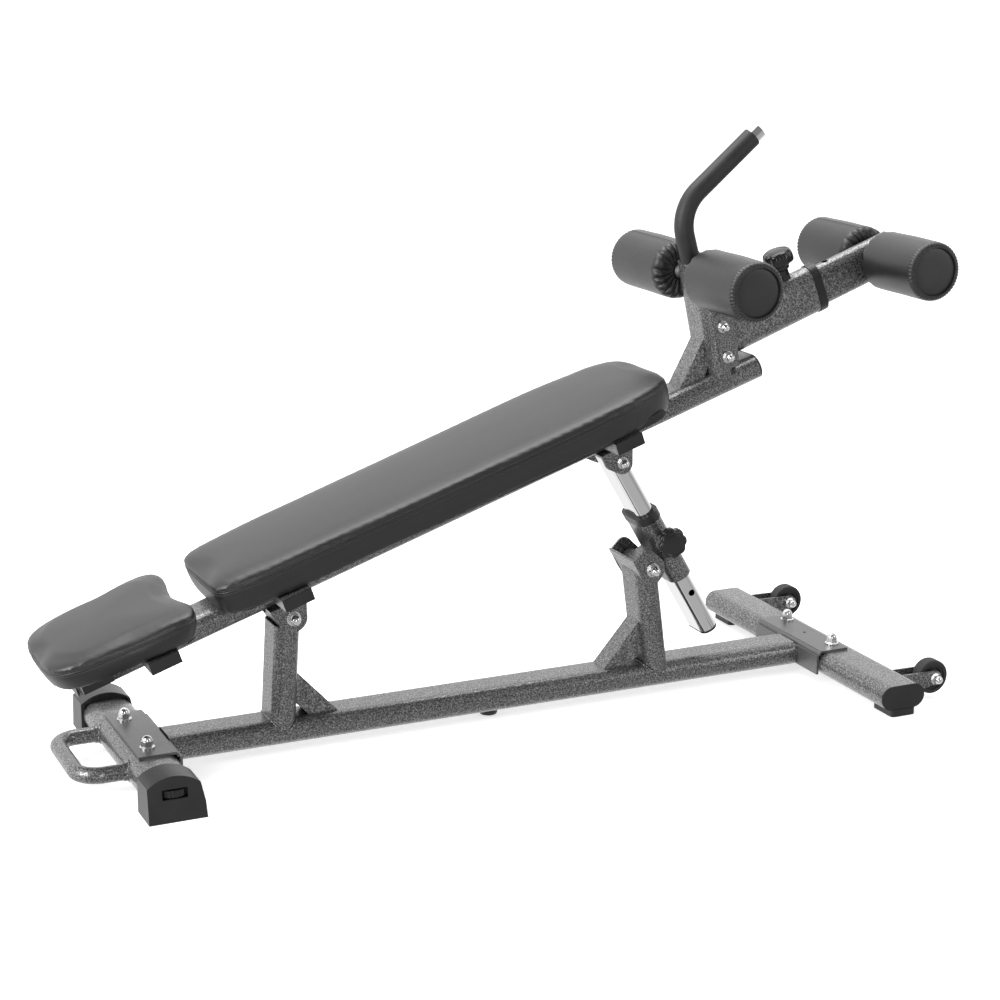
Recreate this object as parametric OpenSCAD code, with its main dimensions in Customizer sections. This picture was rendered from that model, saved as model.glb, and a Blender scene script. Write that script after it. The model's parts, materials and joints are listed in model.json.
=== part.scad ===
// Adjustable weight bench: padded sloping bench with leg rollers on a telescoping boom.
// X runs along the bench from the head end (-) to the wheels (+), Y across it, Z up.
// The origin is on the floor, under the middle of the bench.

/* [Tubing] */
// Wide side of the flat-oval frame tube
tube_w = 80; // [70:1:90]
// Narrow side of the flat-oval frame tube
tube_t = 40; // [36:1:44]
// Wall thickness of every tube
tube_wall = 2; // [1.5:0.25:3]
// Wide side of the sliding tubes inside the sleeve and the boom
inner_w = 68; // [60:1:68]
// Narrow side of the sliding tubes
inner_t = 30; // [24:1:30]
// Thickness of folded plates and ears
plate_t = 4; // [3:0.5:5]

/* [Base] */
// X of the front stabilizer's centre line
front_x = -592.1; // [-620:1:-570]
// X of the rear stabilizer's centre line
rear_x = 589.1; // [570:1:620]
// Height of the rail's and stabilizers' centre lines
rail_z = 31.7; // [30:0.1:36]
// Half length of the front stabilizer with its end caps
front_half = 228.5; // [210:1:260]
// Half length of the rear stabilizer with its end caps
rear_half = 291; // [270:1:320]
// Diameter of the transport wheels
wheel_d = 56.6; // [50:1:64]

/* [Posts] */
// X of the front post's axis at the height post_ref_z
front_post_x = -358.8; // [-370:1:-345]
// Lean of the front post towards +X
front_post_lean = 4.05; // [0:0.1:8]
// X of the rear post's axis at the height post_ref_z
rear_post_x = 267.9; // [255:1:280]
// Lean of the rear post towards +X
rear_post_lean = -7.1; // [-10:0.1:0]
// X of the upper post's axis at the height upper_ref_z
upper_post_x = 379.9; // [370:1:390]
// Lean of the upper post towards +X
upper_post_lean = -11.65; // [-14:0.1:-8]

/* [Bench] */
// Slope of the upper tube at rest
bench_angle = 18.4; // [17:0.1:20]
// Height of the front pivot and of the fork pivot
pivot_z = 219; // [210:1:230]
// X of the front pivot
pivot_x = -351.5; // [-360:1:-345]
// X of the fork pivot on the rear post
fork_x = 262; // [255:1:270]
// Distance from the front pivot to the strut's top bolt
strut_bolt_s = 587; // [580:1:594]
// Distance from the fork pivot to the strut's centre line
strut_offset = 43; // [42:0.5:46]
// Thickness of the pads at their seams
pad_seam_h = 50; // [40:1:55]
// Thickness of the head pad at its seam
head_seam_h = 40; // [30:1:50]
// Height of the pads' crowns above their seams
pad_crown_h = 6; // [2:1:10]

/* [Rollers] */
// Diameter of the leg rollers
roller_d = 95; // [80:1:100]
// Distances from the middle plane to a front roller's inner and outer ends
front_roller_y0 = 43; // [43:1:60]
front_roller_y1 = 207; // [170:1:220]
// Distances from the middle plane to a rear roller's inner and outer ends
rear_roller_y0 = 24; // [24:1:60]
rear_roller_y1 = 176; // [160:1:200]
// Slope of the boom
boom_angle = 20; // [16:0.5:24]
// Distance along the boom from its mouth to the rear roller axle
boom_reach = 116.2; // [100:1:120]
// Pitch of the boom's pin holes
boom_pitch = 40; // [30:5:45]

/* [Hidden] */
$fn = 64;
hull_fn = 32;

frame_grey = [0.2, 0.21, 0.22];
steel_grey = [0.4, 0.41, 0.43];
bright = [0.82, 0.83, 0.85];
black = [0.06, 0.06, 0.065];
vinyl = [0.11, 0.11, 0.115];
plywood = [0.55, 0.42, 0.28];

fit = 0.05;
slide_gap = 0.3;
cope = 0.2;
post_ref_z = 150;
upper_ref_z = 600;
rail_top = rail_z + tube_t / 2;
rail_end_gap = 4.2;

// Ears that straddle the flat-oval tubes
ear_y = tube_w / 2 + 0.4;
ear_out = ear_y + plate_t;
pivot_r = 23;
bolt_r = 6;
bushing_r = 16;
tube_under_n = 24;
tube_mid_n = tube_under_n + tube_t / 2;
tube_top_n = tube_under_n + tube_t;
tube_s0 = -340;
tube_s1 = 870;
board_t = 12;

// Pad crossmembers, each as its distance along the bench and its half length
crossmembers = [[-311, 75], [-215, 119], [2, 119], [580, 119]];
cross_w = 48;
cross_h = 19;
cross_plug = 3;

// Strut triangle: front pivot, fork pivot and the strut's top bolt
strut_bolt = [pivot_x + strut_bolt_s * cos(bench_angle), pivot_z + strut_bolt_s * sin(bench_angle)];
strut_run = strut_bolt - [fork_x, pivot_z];
strut_slope = atan2(strut_run[1], strut_run[0]) + asin(strut_offset / norm(strut_run));
strut_lean = 90 - strut_slope;
strut_top_u = sqrt(pow(norm(strut_run), 2) - pow(strut_offset, 2));
strut_low_u = -166;
fork_web_x = -22;
fork_web_u = -19;
sleeve_u0 = -51;
sleeve_u1 = 80;
collar_t = 14;
pin_u = 31.5;
strut_pitch = 38.7;
strut_end_r = inner_t / 2;
strut_hole_r = 9;
strut_bolt_r = 5;
pin_r = 5;
pin_hole_r = 5.5;
pin_nose = inner_w / 2 + 0.5;
housing_r = 11;
housing_h = 15;

// Boom: its frame's origin is at the mouth of the boom tube
boom_mouth_x = 586.5;
boom_mouth_z = 654.9;
boom_pin = -56;
channel_bolt_b = [-42, 9];
boom_inner_back = -98;
boom_inner_tip = boom_reach + 30;
rear_axle_x = boom_mouth_x + boom_reach * cos(boom_angle);
rear_axle_z = boom_mouth_z + boom_reach * sin(boom_angle);

// Front rollers and the assist handle
front_axle_x = 353.8;
front_axle_z = 690;
axle_r = 9.5;
spacer_r = 12.5;
post_top_b = 113;
handle_r = 14;
grip_r = 15.8;
handle_lean = -14.8;
handle_slope = 40;
handle_bend_r = 70;
handle_foot_x = 350.5;
handle_foot_z = 700;
handle_rise = 54;
handle_arm = 141;
grip_gap = 11;
bare_tip = 16;

// Stabilizer ends
cap_in = 167.8;
cap_w = 87;
cap_shoulder = 53.4;
cap_top = 67;
wheel_x = rear_x + 91.4;
wheel_y = 229.4;
wheel_z = 36;
wheel_w = 22;
wheel_axle_r = 5;
level_x = front_x - 2.9;
level_y = 200;
level_z = 41;
level_r = 25;
foot_h = rail_z - tube_t / 2;

// ---------- shared shapes ----------

// Flat-oval outline, wide along the sketch's Y
module oval(w, t) {
    square([t, w - t], center = true);
    for (side = [-1, 1]) translate([0, side * (w - t) / 2]) circle(d = t);
}

module oval_ring(w, t, wall) {
    difference() {
        oval(w, t);
        oval(w - 2 * wall, t - 2 * wall);
    }
}

// Sketch in X and Z, given a width along Y and centred on the plane Y = y
module across(width, y = 0) {
    translate([0, y, 0]) rotate([90, 0, 0]) linear_extrude(width, center = true) children();
}

// Round bar along Y between y0 and y1
module y_bar(x, z, r, y0, y1) {
    translate([x, y1, z]) rotate([90, 0, 0]) cylinder(r = r, h = y1 - y0);
}

// Frame whose Z axis leans towards +X
module leaning(x, z, lean) {
    translate([x, 0, z]) rotate([0, lean, 0]) children();
}

// Frame at the front pivot, X up the bench and Z square to it
module bench_frame() {
    translate([pivot_x, 0, pivot_z]) rotate([0, -bench_angle, 0]) children();
}

// Frame at the fork pivot, Z up the strut and X away from the front
module strut_frame() {
    leaning(fork_x, pivot_z, strut_lean) children();
}

// Frame at the boom's mouth, X along the boom and Z square to it
module boom_frame() {
    translate([boom_mouth_x, 0, boom_mouth_z]) rotate([0, -boom_angle, 0]) children();
}

module upper_post_frame() {
    leaning(upper_post_x, upper_ref_z, upper_post_lean) children();
}

module each_side() {
    for (side = [-1, 1]) scale([1, side, 1]) children();
}

module both_y(y) {
    for (side = [-1, 1]) translate([0, side * y, 0]) children();
}

// Washer, hexagon nut and dome standing on the plane Z = 0
module acorn_nut(r) {
    cylinder(r = 1.9 * r, h = 2.5);
    translate([0, 0, 2.5]) cylinder(r = 1.6 * r, h = 1.5 * r, $fn = 6);
    translate([0, 0, 2.5 + 1.5 * r]) intersection() {
        sphere(r = 1.35 * r);
        cylinder(r = 1.35 * r, h = 2 * r);
    }
}

// Bolt along Y with a nut at each end, whose washers stand on the planes Y = +-grip
module y_bolt(x, z, r, grip) {
    y_bar(x, z, r, -grip, grip);
    translate([x, grip, z]) rotate([-90, 0, 0]) acorn_nut(r);
    translate([x, -grip, z]) rotate([90, 0, 0]) acorn_nut(r);
}

// Solid envelopes that other pieces are coped to
module rail_envelope() {
    translate([-600, 0, rail_z]) tube_envelope();
}

// Solid flat-oval tube along +X from the origin, squared off beside its widest line
module tube_envelope() {
    flank = 8;
    rotate([0, 90, 0]) linear_extrude(1200) oval(tube_w + 6 * cope, tube_t + cope);
    both_y(tube_w / 2 + 9) translate([0, -10, -80]) cube([1200, 20, 80 + flank]);
}

module stabilizer_envelope(x, half) {
    translate([x, 0, rail_z]) rotate([90, 0, 0])
        linear_extrude(2 * half, center = true) rotate(90) oval(tube_w, tube_t);
}

// Upper tube, with everything below its widest line
module bench_envelope() {
    bench_frame() {
        translate([0, 0, tube_mid_n]) tube_envelope();
        translate([0, -60, tube_mid_n - 80]) cube([1200, 120, 80]);
    }
}

module upper_post_envelope() {
    upper_post_frame() translate([0, 0, -100])
        linear_extrude(300) oval(tube_w, tube_t);
}

// Seven-lobed knob standing on Z = 0 with a domed top
module lobed_knob(r, h) {
    lobe_r = r * 0.25;
    cylinder(r = r * 0.55, h = h * 0.3);
    translate([0, 0, h * 0.25]) linear_extrude(h * 0.6) {
        circle(r = r * 0.84);
        for (i = [0:6]) rotate(i * 360 / 7) translate([r - lobe_r, 0]) circle(r = lobe_r);
    }
    translate([0, 0, h * 0.85]) cylinder(r1 = r * 0.8, r2 = r * 0.66, h = h * 0.15);
}

// ---------- base ----------

module main_rail() {
    x0 = front_x + tube_w / 2 + rail_end_gap;
    x1 = rear_x - tube_w / 2 - rail_end_gap;
    color(frame_grey) translate([x0, 0, rail_z]) rotate([0, 90, 0])
        linear_extrude(x1 - x0) oval_ring(tube_w, tube_t, tube_wall);
}

// Plate over a stabilizer, bent down beside the rail's end.
// X runs from the stabilizer's centre line towards the rail.
module saddle_plate(reach) {
    side = tube_w / 2 + 0.2;
    bend = 8;
    leg = 36;
    across(200) translate([0, rail_top]) {
        translate([-reach, 0]) square([reach + side - bend, plate_t]);
        translate([side, -leg]) square([plate_t, leg - bend + plate_t]);
        intersection() {
            translate([side - bend + plate_t, -bend + plate_t]) square([bend, bend]);
            translate([side - bend, plate_t - bend]) difference() {
                circle(r = bend);
                circle(r = bend - plate_t);
            }
        }
        translate([side - bend, 0]) square([plate_t, plate_t]);
    }
}

module saddle_plates() {
    color(steel_grey) {
        difference() {
            translate([front_x, 0, 0]) saddle_plate(22);
            stabilizer_envelope(front_x, front_half);
        }
        difference() {
            translate([rear_x, 0, 0]) mirror([1, 0, 0]) saddle_plate(15);
            stabilizer_envelope(rear_x, rear_half);
            translate([rear_x - 8, 0, rail_z]) cylinder(r = 3, h = 40);
        }
    }
}

module saddle_bolts() {
    color(bright) {
        for (side = [-1, 1]) {
            translate([front_x, side * 66, rail_top + plate_t]) acorn_nut(bolt_r);
            translate([rear_x + 1.2, side * 72.6, rail_top + plate_t]) acorn_nut(bolt_r);
        }
    }
}

module stabilizer(x, half) {
    translate([x, 0, rail_z]) rotate([90, 0, 0])
        linear_extrude(2 * half, center = true) rotate(90) oval_ring(tube_w, tube_t, tube_wall);
}

module front_stabilizer() {
    color(frame_grey) stabilizer(front_x, 182);
}

module rear_stabilizer() {
    color(frame_grey) stabilizer(rear_x, rear_half - 2);
}

// U-shaped carrying handle ahead of the front stabilizer
module grab_handle() {
    r = 12.5;
    bend = 35;
    leg_y = 86;
    bar_x = front_x - 106.4;
    leg_end = front_x - 30;
    color(frame_grey) difference() {
        translate([0, 0, rail_z]) {
            both_y(leg_y) translate([bar_x + bend, 0, 0]) rotate([0, 90, 0])
                cylinder(r = r, h = leg_end - bar_x - bend);
            both_y(leg_y) translate([front_x - tube_w / 2 - 3, 0, 0]) rotate([0, 90, 0])
                cylinder(r = r + 1.5, h = 11);
            for (side = [-1, 1]) translate([bar_x + bend, side * (leg_y - bend), 0])
                rotate(side > 0 ? 90 : 180) rotate_extrude(angle = 90) translate([bend, 0]) circle(r = r);
            y_bar(bar_x, 0, r, bend - leg_y, leg_y - bend);
        }
        stabilizer_envelope(front_x, front_half);
    }
}

// Hood outline of the front end cap in X and Z, from its -X edge
module cap_outline() {
    arch_r = 61.3;
    polygon([[0, 0], [cap_w, 0], [cap_w - 1.5, 25], [cap_w - 7, cap_shoulder - 0.8], [0.6, cap_shoulder]]);
    intersection() {
        translate([cap_w / 2 - 3, cap_top - arch_r]) circle(r = arch_r);
        translate([1.5, cap_shoulder - 3]) square([cap_w - 9.5, 20]);
    }
}

// Front end cap on the +Y side: hood over the tube, with a window for its levelling wheel
module front_cap() {
    length = front_half - cap_in;
    draft = 7.5;
    mouth = 0.88;
    difference() {
        translate([front_x - tube_w / 2 - 3.9, front_half, 0]) rotate([90, 0, 0])
            linear_extrude(length) cap_outline();
        translate([front_x, front_half, 0]) rotate([draft, 0, 0])
            translate([-60, 0, -20]) cube([120, 40, 120]);
        translate([front_x, cap_in + 8, rail_z]) rotate([90, 0, 0])
            linear_extrude(30, center = true) rotate(90) oval(tube_w + 0.2, tube_t + 0.2);
        translate([front_x - tube_w / 2 + 1.5, cap_in + 9, 6]) rotate([90, 0, 0])
            linear_extrude(20) scale([mouth, mouth, 1]) cap_outline();
        translate([level_x, level_y, level_z - 7.5]) cylinder(r = level_r + 1.2, h = 15);
        translate([level_x - 19, level_y, level_z - 7.5]) cube([38, 40, 15]);
        translate([level_x, level_y, -1]) cylinder(r = 5.5, h = 60);
    }
}

module front_cap_left() {
    color(black) front_cap();
}

module front_cap_right() {
    color(black) mirror([0, 1, 0]) front_cap();
}

module level_screws() {
    color(bright) both_y(level_y) translate([level_x, 0, 0.5]) {
        cylinder(r = 5, h = 55);
    }
}

module level_wheel(side) {
    notches = 24;
    translate([level_x, side * level_y, level_z - 5]) difference() {
        cylinder(r = level_r, h = 10);
        translate([0, 0, -1]) cylinder(r = 5 + fit, h = 12);
        for (i = [0:notches - 1]) rotate(i * 360 / notches)
            translate([level_r + 0.6, 0, -1]) cylinder(r = 1.6, h = 12, $fn = 16);
    }
}

module level_wheel_left() {
    color(black) level_wheel(1);
}

module level_wheel_right() {
    color(black) level_wheel(-1);
}

module rear_end_caps() {
    color(black) each_side() translate([rear_x, rear_half, rail_z]) rotate([90, 0, 0]) {
        linear_extrude(2) rotate(90) oval(tube_w, tube_t);
        translate([0, 0, 1]) linear_extrude(18) rotate(90)
            oval(tube_w - 2 * tube_wall - 0.2, tube_t - 2 * tube_wall - 0.2);
    }
}

module rear_feet() {
    length = 56.5;
    width = 44.5;
    corner = 6;
    color(black) each_side() translate([rear_x + 1.5, rear_half + 1 - length / 2, 0]) {
        linear_extrude(foot_h) {
            square([width, length - 2 * corner], center = true);
            square([width - 2 * corner, length], center = true);
            for (sx = [-1, 1], sy = [-1, 1])
                translate([sx * (width / 2 - corner), sy * (length / 2 - corner)]) circle(r = corner);
        }
    }
}

module wheel_brackets() {
    ear = 3;
    ear_mid = wheel_w / 2 + 2.5 + ear / 2;
    color(frame_grey) difference() {
        for (side = [-1, 1], inner = [-1, 1])
            across(ear, side * (wheel_y + inner * ear_mid)) difference() {
                union() {
                    translate([wheel_x, wheel_z]) circle(r = 12.5);
                    polygon([[rear_x + 26, 21], [wheel_x - 20, 21], [wheel_x - 4.5, wheel_z - 11.6],
                             [wheel_x, wheel_z + 12.5], [rear_x + 26, 49.5]]);
                }
                translate([wheel_x, wheel_z]) circle(r = wheel_axle_r);
            }
        stabilizer_envelope(rear_x, rear_half);
    }
}

module wheel_axles() {
    color(bright) each_side() translate([0, wheel_y, 0])
        y_bolt(wheel_x, wheel_z, wheel_axle_r, wheel_w / 2 + 5.5);
}

module wheel_hub(side) {
    rim_r = wheel_d / 2 - 7;
    translate([wheel_x, side * wheel_y, wheel_z]) rotate([90, 0, 0]) rotate_extrude() {
        translate([wheel_axle_r + fit, -wheel_w / 2 - 1.5]) square([5, wheel_w + 3]);
        translate([wheel_axle_r + 4, -4]) square([rim_r - wheel_axle_r - 6, 8]);
        translate([rim_r - 4, -wheel_w / 2 + 2]) square([4, wheel_w - 4]);
    }
}

module wheel_hub_left() {
    color(black) wheel_hub(1);
}

module wheel_hub_right() {
    color(black) wheel_hub(-1);
}

module wheel_tyre(side) {
    rim_r = wheel_d / 2 - 7;
    round_r = 3;
    translate([wheel_x, side * wheel_y, wheel_z]) rotate([90, 0, 0]) rotate_extrude() {
        translate([rim_r, -wheel_w / 2]) square([7 - round_r, wheel_w]);
        translate([rim_r, -wheel_w / 2 + round_r]) square([7, wheel_w - 2 * round_r]);
        for (end = [-1, 1])
            translate([wheel_d / 2 - round_r, end * (wheel_w / 2 - round_r)]) circle(r = round_r);
    }
}

module wheel_tyre_left() {
    color(black) wheel_tyre(1);
}

module wheel_tyre_right() {
    color(black) wheel_tyre(-1);
}

module rail_bumper() {
    color(black) translate([-11, 0, 0]) {
        cylinder(r1 = 13.5, r2 = 15, h = 3);
        translate([0, 0, 3]) cylinder(r = 15, h = foot_h - 3);
    }
}

// ---------- posts ----------

module post_tube(x, lean, top_z) {
    leaning(x, post_ref_z, lean) translate([0, 0, -117])
        linear_extrude(117 + (top_z - post_ref_z) / cos(lean)) oval_ring(tube_w, tube_t, tube_wall);
}

module front_post() {
    color(frame_grey) difference() {
        post_tube(front_post_x, front_post_lean, pivot_z);
        rail_envelope();
        translate([pivot_x - 60, -60, pivot_z - bushing_r]) cube([120, 120, 60]);
    }
}

// Pivot bushing on a block that closes the front post's top
module front_bushing() {
    color(frame_grey) difference() {
        union() {
            y_bar(pivot_x, pivot_z, bushing_r, -tube_w / 2, tube_w / 2);
            translate([pivot_x - 18, -tube_w / 2, pivot_z - bushing_r])
                cube([36, tube_w, bushing_r - 3]);
        }
        y_bar(pivot_x, pivot_z, bolt_r + fit, -50, 50);
    }
}

module rear_post() {
    color(frame_grey) difference() {
        post_tube(rear_post_x, rear_post_lean, pivot_z - 4);
        rail_envelope();
        strut_frame() translate([fork_web_x, -50, fork_web_u]) cube([60, 100, 80]);
    }
}

// Post faces and rail top, used by the gussets' outlines
function post_face(x, lean, side, z) = x + (z - post_ref_z) * tan(lean) + side * tube_t / 2 / cos(lean);

module post_gussets() {
    front_face = function(z) post_face(front_post_x, front_post_lean, 1, z);
    rear_face = function(z) post_face(rear_post_x, rear_post_lean, -1, z);
    color(frame_grey) {
        gusset_shell([front_face(123.5), 123.5], [-275, rail_top], [-322, rail_top], [front_face(74), 74]);
        gusset_shell([rear_face(125), 125], [187, rail_top], [234, rail_top], [rear_face(75), 75]);
    }
}

// Side plates with a web along the edge from head to foot, open towards the post and the rail
module gusset_shell(head, foot, clip_a, clip_b) {
    run = foot - head;
    away = clip_a[0] < foot[0] ? -1 : 1;
    drop = plate_t / norm(run) * [away * abs(run[1]), -abs(run[0])];
    difference() {
        across(tube_t) polygon([head, foot, clip_a, clip_b]);
        across(tube_t - 2 * plate_t)
            polygon([head + drop - run, foot + drop + run, [foot[0] + away * 200, foot[1] - 60],
                     [head[0] + away * 200, head[1]]]);
    }
}

// ---------- fork, sleeve and strut ----------

// U-shaped bracket on the rear post: two ears and a web behind the sleeve
module rear_fork() {
    color(frame_grey) difference() {
        strut_frame() {
            both_y(ear_out - plate_t / 2) across(plate_t) difference() {
                hull() {
                    circle(r = 23, $fn = hull_fn);
                    translate([3, 22]) circle(r = 14, $fn = hull_fn);
                    translate([-12, 22]) circle(r = 10, $fn = hull_fn);
                    translate([-16, -24]) circle(r = 6, $fn = hull_fn);
                }
                circle(r = bolt_r);
            }
            translate([fork_web_x, -ear_out, fork_web_u]) cube([plate_t, 2 * ear_out, 32 - fork_web_u]);
        }
    }
}

module fork_bolt() {
    color(bright) y_bolt(fork_x, pivot_z, bolt_r, ear_out);
}

// Welded sleeve: the outer tube and the lug that turns on the fork bolt
module sleeve_tube() {
    lug_r = 16;
    face = strut_offset - tube_t / 2;
    color(frame_grey) strut_frame() difference() {
        union() {
            translate([strut_offset, 0, sleeve_u0])
                linear_extrude(sleeve_u1 - collar_t - sleeve_u0) oval_ring(tube_w, tube_t, tube_wall);
            y_bar(0, 0, lug_r, -36, 36);
            translate([0, -18, -lug_r]) cube([face + 1, 36, 2 * lug_r]);
        }
        y_bar(0, 0, bolt_r + fit, -50, 50);
        translate([strut_offset, -45, pin_u]) rotate([-90, 0, 0]) cylinder(r = pin_r + fit, h = 12);
    }
}

// Plastic collar at the sleeve's mouth with a liner that guides the strut
module sleeve_collar() {
    liner = 60;
    color(black) strut_frame() difference() {
        translate([strut_offset, 0, sleeve_u1 - collar_t]) {
            linear_extrude(collar_t) oval(tube_w + 3, tube_t + 3);
            translate([0, 0, -liner]) linear_extrude(liner)
                oval(tube_w - 2 * tube_wall - 0.2, tube_t - 2 * tube_wall - 0.2);
        }
        translate([strut_offset, 0, sleeve_u1 - collar_t - liner - 1])
            linear_extrude(liner + collar_t + 2) oval(inner_w + 2 * slide_gap, inner_t + 2 * slide_gap);
        translate([strut_offset, -45, pin_u]) rotate([-90, 0, 0]) cylinder(r = pin_r + fit, h = 15);
    }
}

// Housing of a spring pin, standing on Z = 0
module pin_housing() {
    difference() {
        union() {
            cylinder(r = housing_r + 2, h = 5, $fn = 6);
            cylinder(r = housing_r, h = housing_h);
        }
        translate([0, 0, -1]) cylinder(r = pin_r + fit, h = housing_h + 2);
    }
}

module strut_pin_housing() {
    color(black) strut_frame() difference() {
        translate([strut_offset, -tube_w / 2 + 1.5, pin_u]) rotate([90, 0, 0]) pin_housing();
        translate([strut_offset, 0, sleeve_u0])
            linear_extrude(sleeve_u1 - sleeve_u0) oval(tube_w, tube_t);
    }
}

module strut_knob() {
    knob_y = tube_w / 2 - 1.5 + housing_h + 0.3;
    color(black) strut_frame() translate([strut_offset, 0, pin_u]) rotate([90, 0, 0]) {
        translate([0, 0, pin_nose]) cylinder(r = pin_r, h = knob_y - pin_nose + 5);
        translate([0, 0, knob_y]) lobed_knob(26.5, 26);
    }
}

// Chromed sliding tube with a rounded top end; its cross hole is wide enough for the fold
module strut_tube() {
    color(bright) strut_frame() difference() {
        intersection() {
            translate([strut_offset, 0, strut_low_u + 4])
                linear_extrude(strut_top_u + strut_end_r - strut_low_u - 4)
                    oval_ring(inner_w, inner_t, tube_wall);
            union() {
                y_bar(strut_offset, strut_top_u, strut_end_r, -50, 50);
                translate([strut_offset - 25, -50, strut_low_u]) cube([50, 100, strut_top_u - strut_low_u]);
            }
        }
        y_bar(strut_offset, strut_top_u, strut_hole_r, -50, 50);
        for (i = [0:3]) translate([strut_offset, -inner_w / 2 - 3, pin_u - i * strut_pitch])
            rotate([-90, 0, 0]) cylinder(r = pin_hole_r, h = 8);
    }
}

module strut_plug() {
    color(black) strut_frame() translate([strut_offset, 0, strut_low_u]) {
        linear_extrude(4) oval(inner_w, inner_t);
        linear_extrude(16) oval(inner_w - 2 * tube_wall - 0.2, inner_t - 2 * tube_wall - 0.2);
    }
}

// ---------- upper frame ----------

module upper_tube() {
    plug = 3;
    color(frame_grey) bench_frame() translate([tube_s0 + plug, 0, tube_mid_n]) rotate([0, 90, 0])
        linear_extrude(tube_s1 - tube_s0 - 2 * plug) oval_ring(tube_w, tube_t, tube_wall);
}

module tube_plugs() {
    plug = 3;
    color(black) bench_frame() {
        for (s = [tube_s0, tube_s1 - plug]) translate([s, 0, tube_mid_n]) rotate([0, 90, 0])
            linear_extrude(plug) oval(tube_w, tube_t);
        for (c = crossmembers) both_y(c[1] - cross_plug / 2)
            translate([c[0] - cross_w / 2, -cross_plug / 2, tube_top_n - 1 - cross_h])
                cube([cross_w, cross_plug, cross_h]);
    }
}

// Rectangular stubs that carry the pads, two to each side of the tube
module pad_crossmembers() {
    color(frame_grey) difference() {
        bench_frame() for (c = crossmembers) each_side()
            translate([c[0] - cross_w / 2, 20, tube_top_n - 1 - cross_h]) difference() {
                cube([cross_w, c[1] - cross_plug - 20, cross_h]);
                translate([tube_wall, 22, tube_wall])
                    cube([cross_w - 2 * tube_wall, 100, cross_h - 2 * tube_wall]);
            }
        bench_frame() translate([tube_s0, 0, tube_mid_n]) rotate([0, 90, 0])
            linear_extrude(tube_s1 - tube_s0) oval(tube_w, tube_t);
    }
}

// Bracket folded from plate: a base under the tube and two ears hanging from it
module hanging_bracket(s0, s1) {
    translate([s0, -ear_out, tube_under_n - plate_t]) cube([s1 - s0, 2 * ear_out, plate_t]);
    both_y(ear_out - plate_t / 2) across(plate_t) children();
}

module front_pivot_bracket() {
    color(frame_grey) bench_frame() hanging_bracket(-30, 30) difference() {
        union() {
            circle(r = pivot_r);
            polygon([[-30, tube_under_n], [30, tube_under_n], [30, 20], [20, -11], [-20, -11], [-30, 20]]);
        }
        circle(r = bolt_r);
    }
}

module strut_bracket() {
    color(frame_grey) bench_frame() hanging_bracket(556, 614) difference() {
        hull() {
            translate([strut_bolt_s + 1, -3]) circle(r = 17, $fn = hull_fn);
            translate([strut_bolt_s - 17, 7]) circle(r = 12, $fn = hull_fn);
            translate([556, tube_under_n - 2]) square([58, 2]);
        }
        translate([strut_bolt_s, 0]) circle(r = strut_bolt_r);
    }
}

module pivot_bolts() {
    color(bright) {
        y_bolt(pivot_x, pivot_z, bolt_r, ear_out);
        y_bolt(strut_bolt[0], strut_bolt[1], strut_bolt_r, ear_out);
    }
}

// ---------- pads ----------

module main_outline() {
    hull() {
        for (side = [-1, 1]) {
            translate([-55, side * 60]) circle(r = 54, $fn = hull_fn);
            translate([290, side * 107]) circle(r = 20, $fn = hull_fn);
            translate([500, side * 113]) circle(r = 20, $fn = hull_fn);
            translate([629, side * 66]) circle(r = 59, $fn = hull_fn);
        }
        polygon([[-112, -20], [-112, 20], [699, 22], [699, -22]]);
    }
}

module head_outline() {
    difference() {
        hull() {
            for (side = [-1, 1]) {
                translate([-318, side * 66]) circle(r = 46, $fn = hull_fn);
                translate([-175, side * 92]) circle(r = 36, $fn = hull_fn);
            }
            polygon([[-378, -18], [-378, 18], [-300, 40], [-300, -40]]);
        }
        translate([120, 0]) circle(r = 272, $fn = 128);
    }
}

// Upholstered pad in the bench frame: tucked in below, crowned on top, hollow for its board
module pad(seam_h) {
    tuck = 8;
    translate([0, 0, tube_top_n]) difference() {
        union() {
            linear_extrude(tuck) offset(delta = -5) children();
            translate([0, 0, tuck]) linear_extrude(seam_h - tuck) children();
            translate([0, 0, seam_h]) linear_extrude(pad_crown_h) offset(delta = -9) children();
        }
        translate([0, 0, -1]) linear_extrude(board_t + 1) offset(delta = -16) children();
    }
}

module pad_board() {
    translate([0, 0, tube_top_n]) linear_extrude(board_t) offset(delta = -16) children();
}

module main_pad() {
    color(vinyl) bench_frame() pad(pad_seam_h) main_outline();
}

module main_pad_board() {
    color(plywood) bench_frame() pad_board() main_outline();
}

module head_pad() {
    color(vinyl) bench_frame() pad(head_seam_h) head_outline();
}

module head_pad_board() {
    color(plywood) bench_frame() pad_board() head_outline();
}

// ---------- upper post and boom ----------

module upper_post() {
    color(frame_grey) difference() {
        upper_post_frame() translate([0, 0, -95])
            linear_extrude(95 + post_top_b) oval_ring(tube_w, tube_t, tube_wall);
        bench_envelope();
        upper_post_frame() for (b = channel_bolt_b) y_bar(5, b, strut_bolt_r, -60, 60);
    }
}

module upper_gusset() {
    gusset_x = 321;
    foot_z = pivot_z + (gusset_x - pivot_x) * tan(bench_angle) + tube_top_n / cos(bench_angle);
    clip_x = 366;
    clip_z = foot_z + (clip_x - gusset_x) * tan(bench_angle);
    face = function(z) upper_post_x + (z - upper_ref_z) * tan(upper_post_lean)
        - tube_t / 2 / cos(upper_post_lean);
    color(frame_grey) gusset_shell([face(586.5), 586.5], [gusset_x, foot_z], [clip_x, clip_z],
                                   [face(541), 541]);
}

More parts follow.
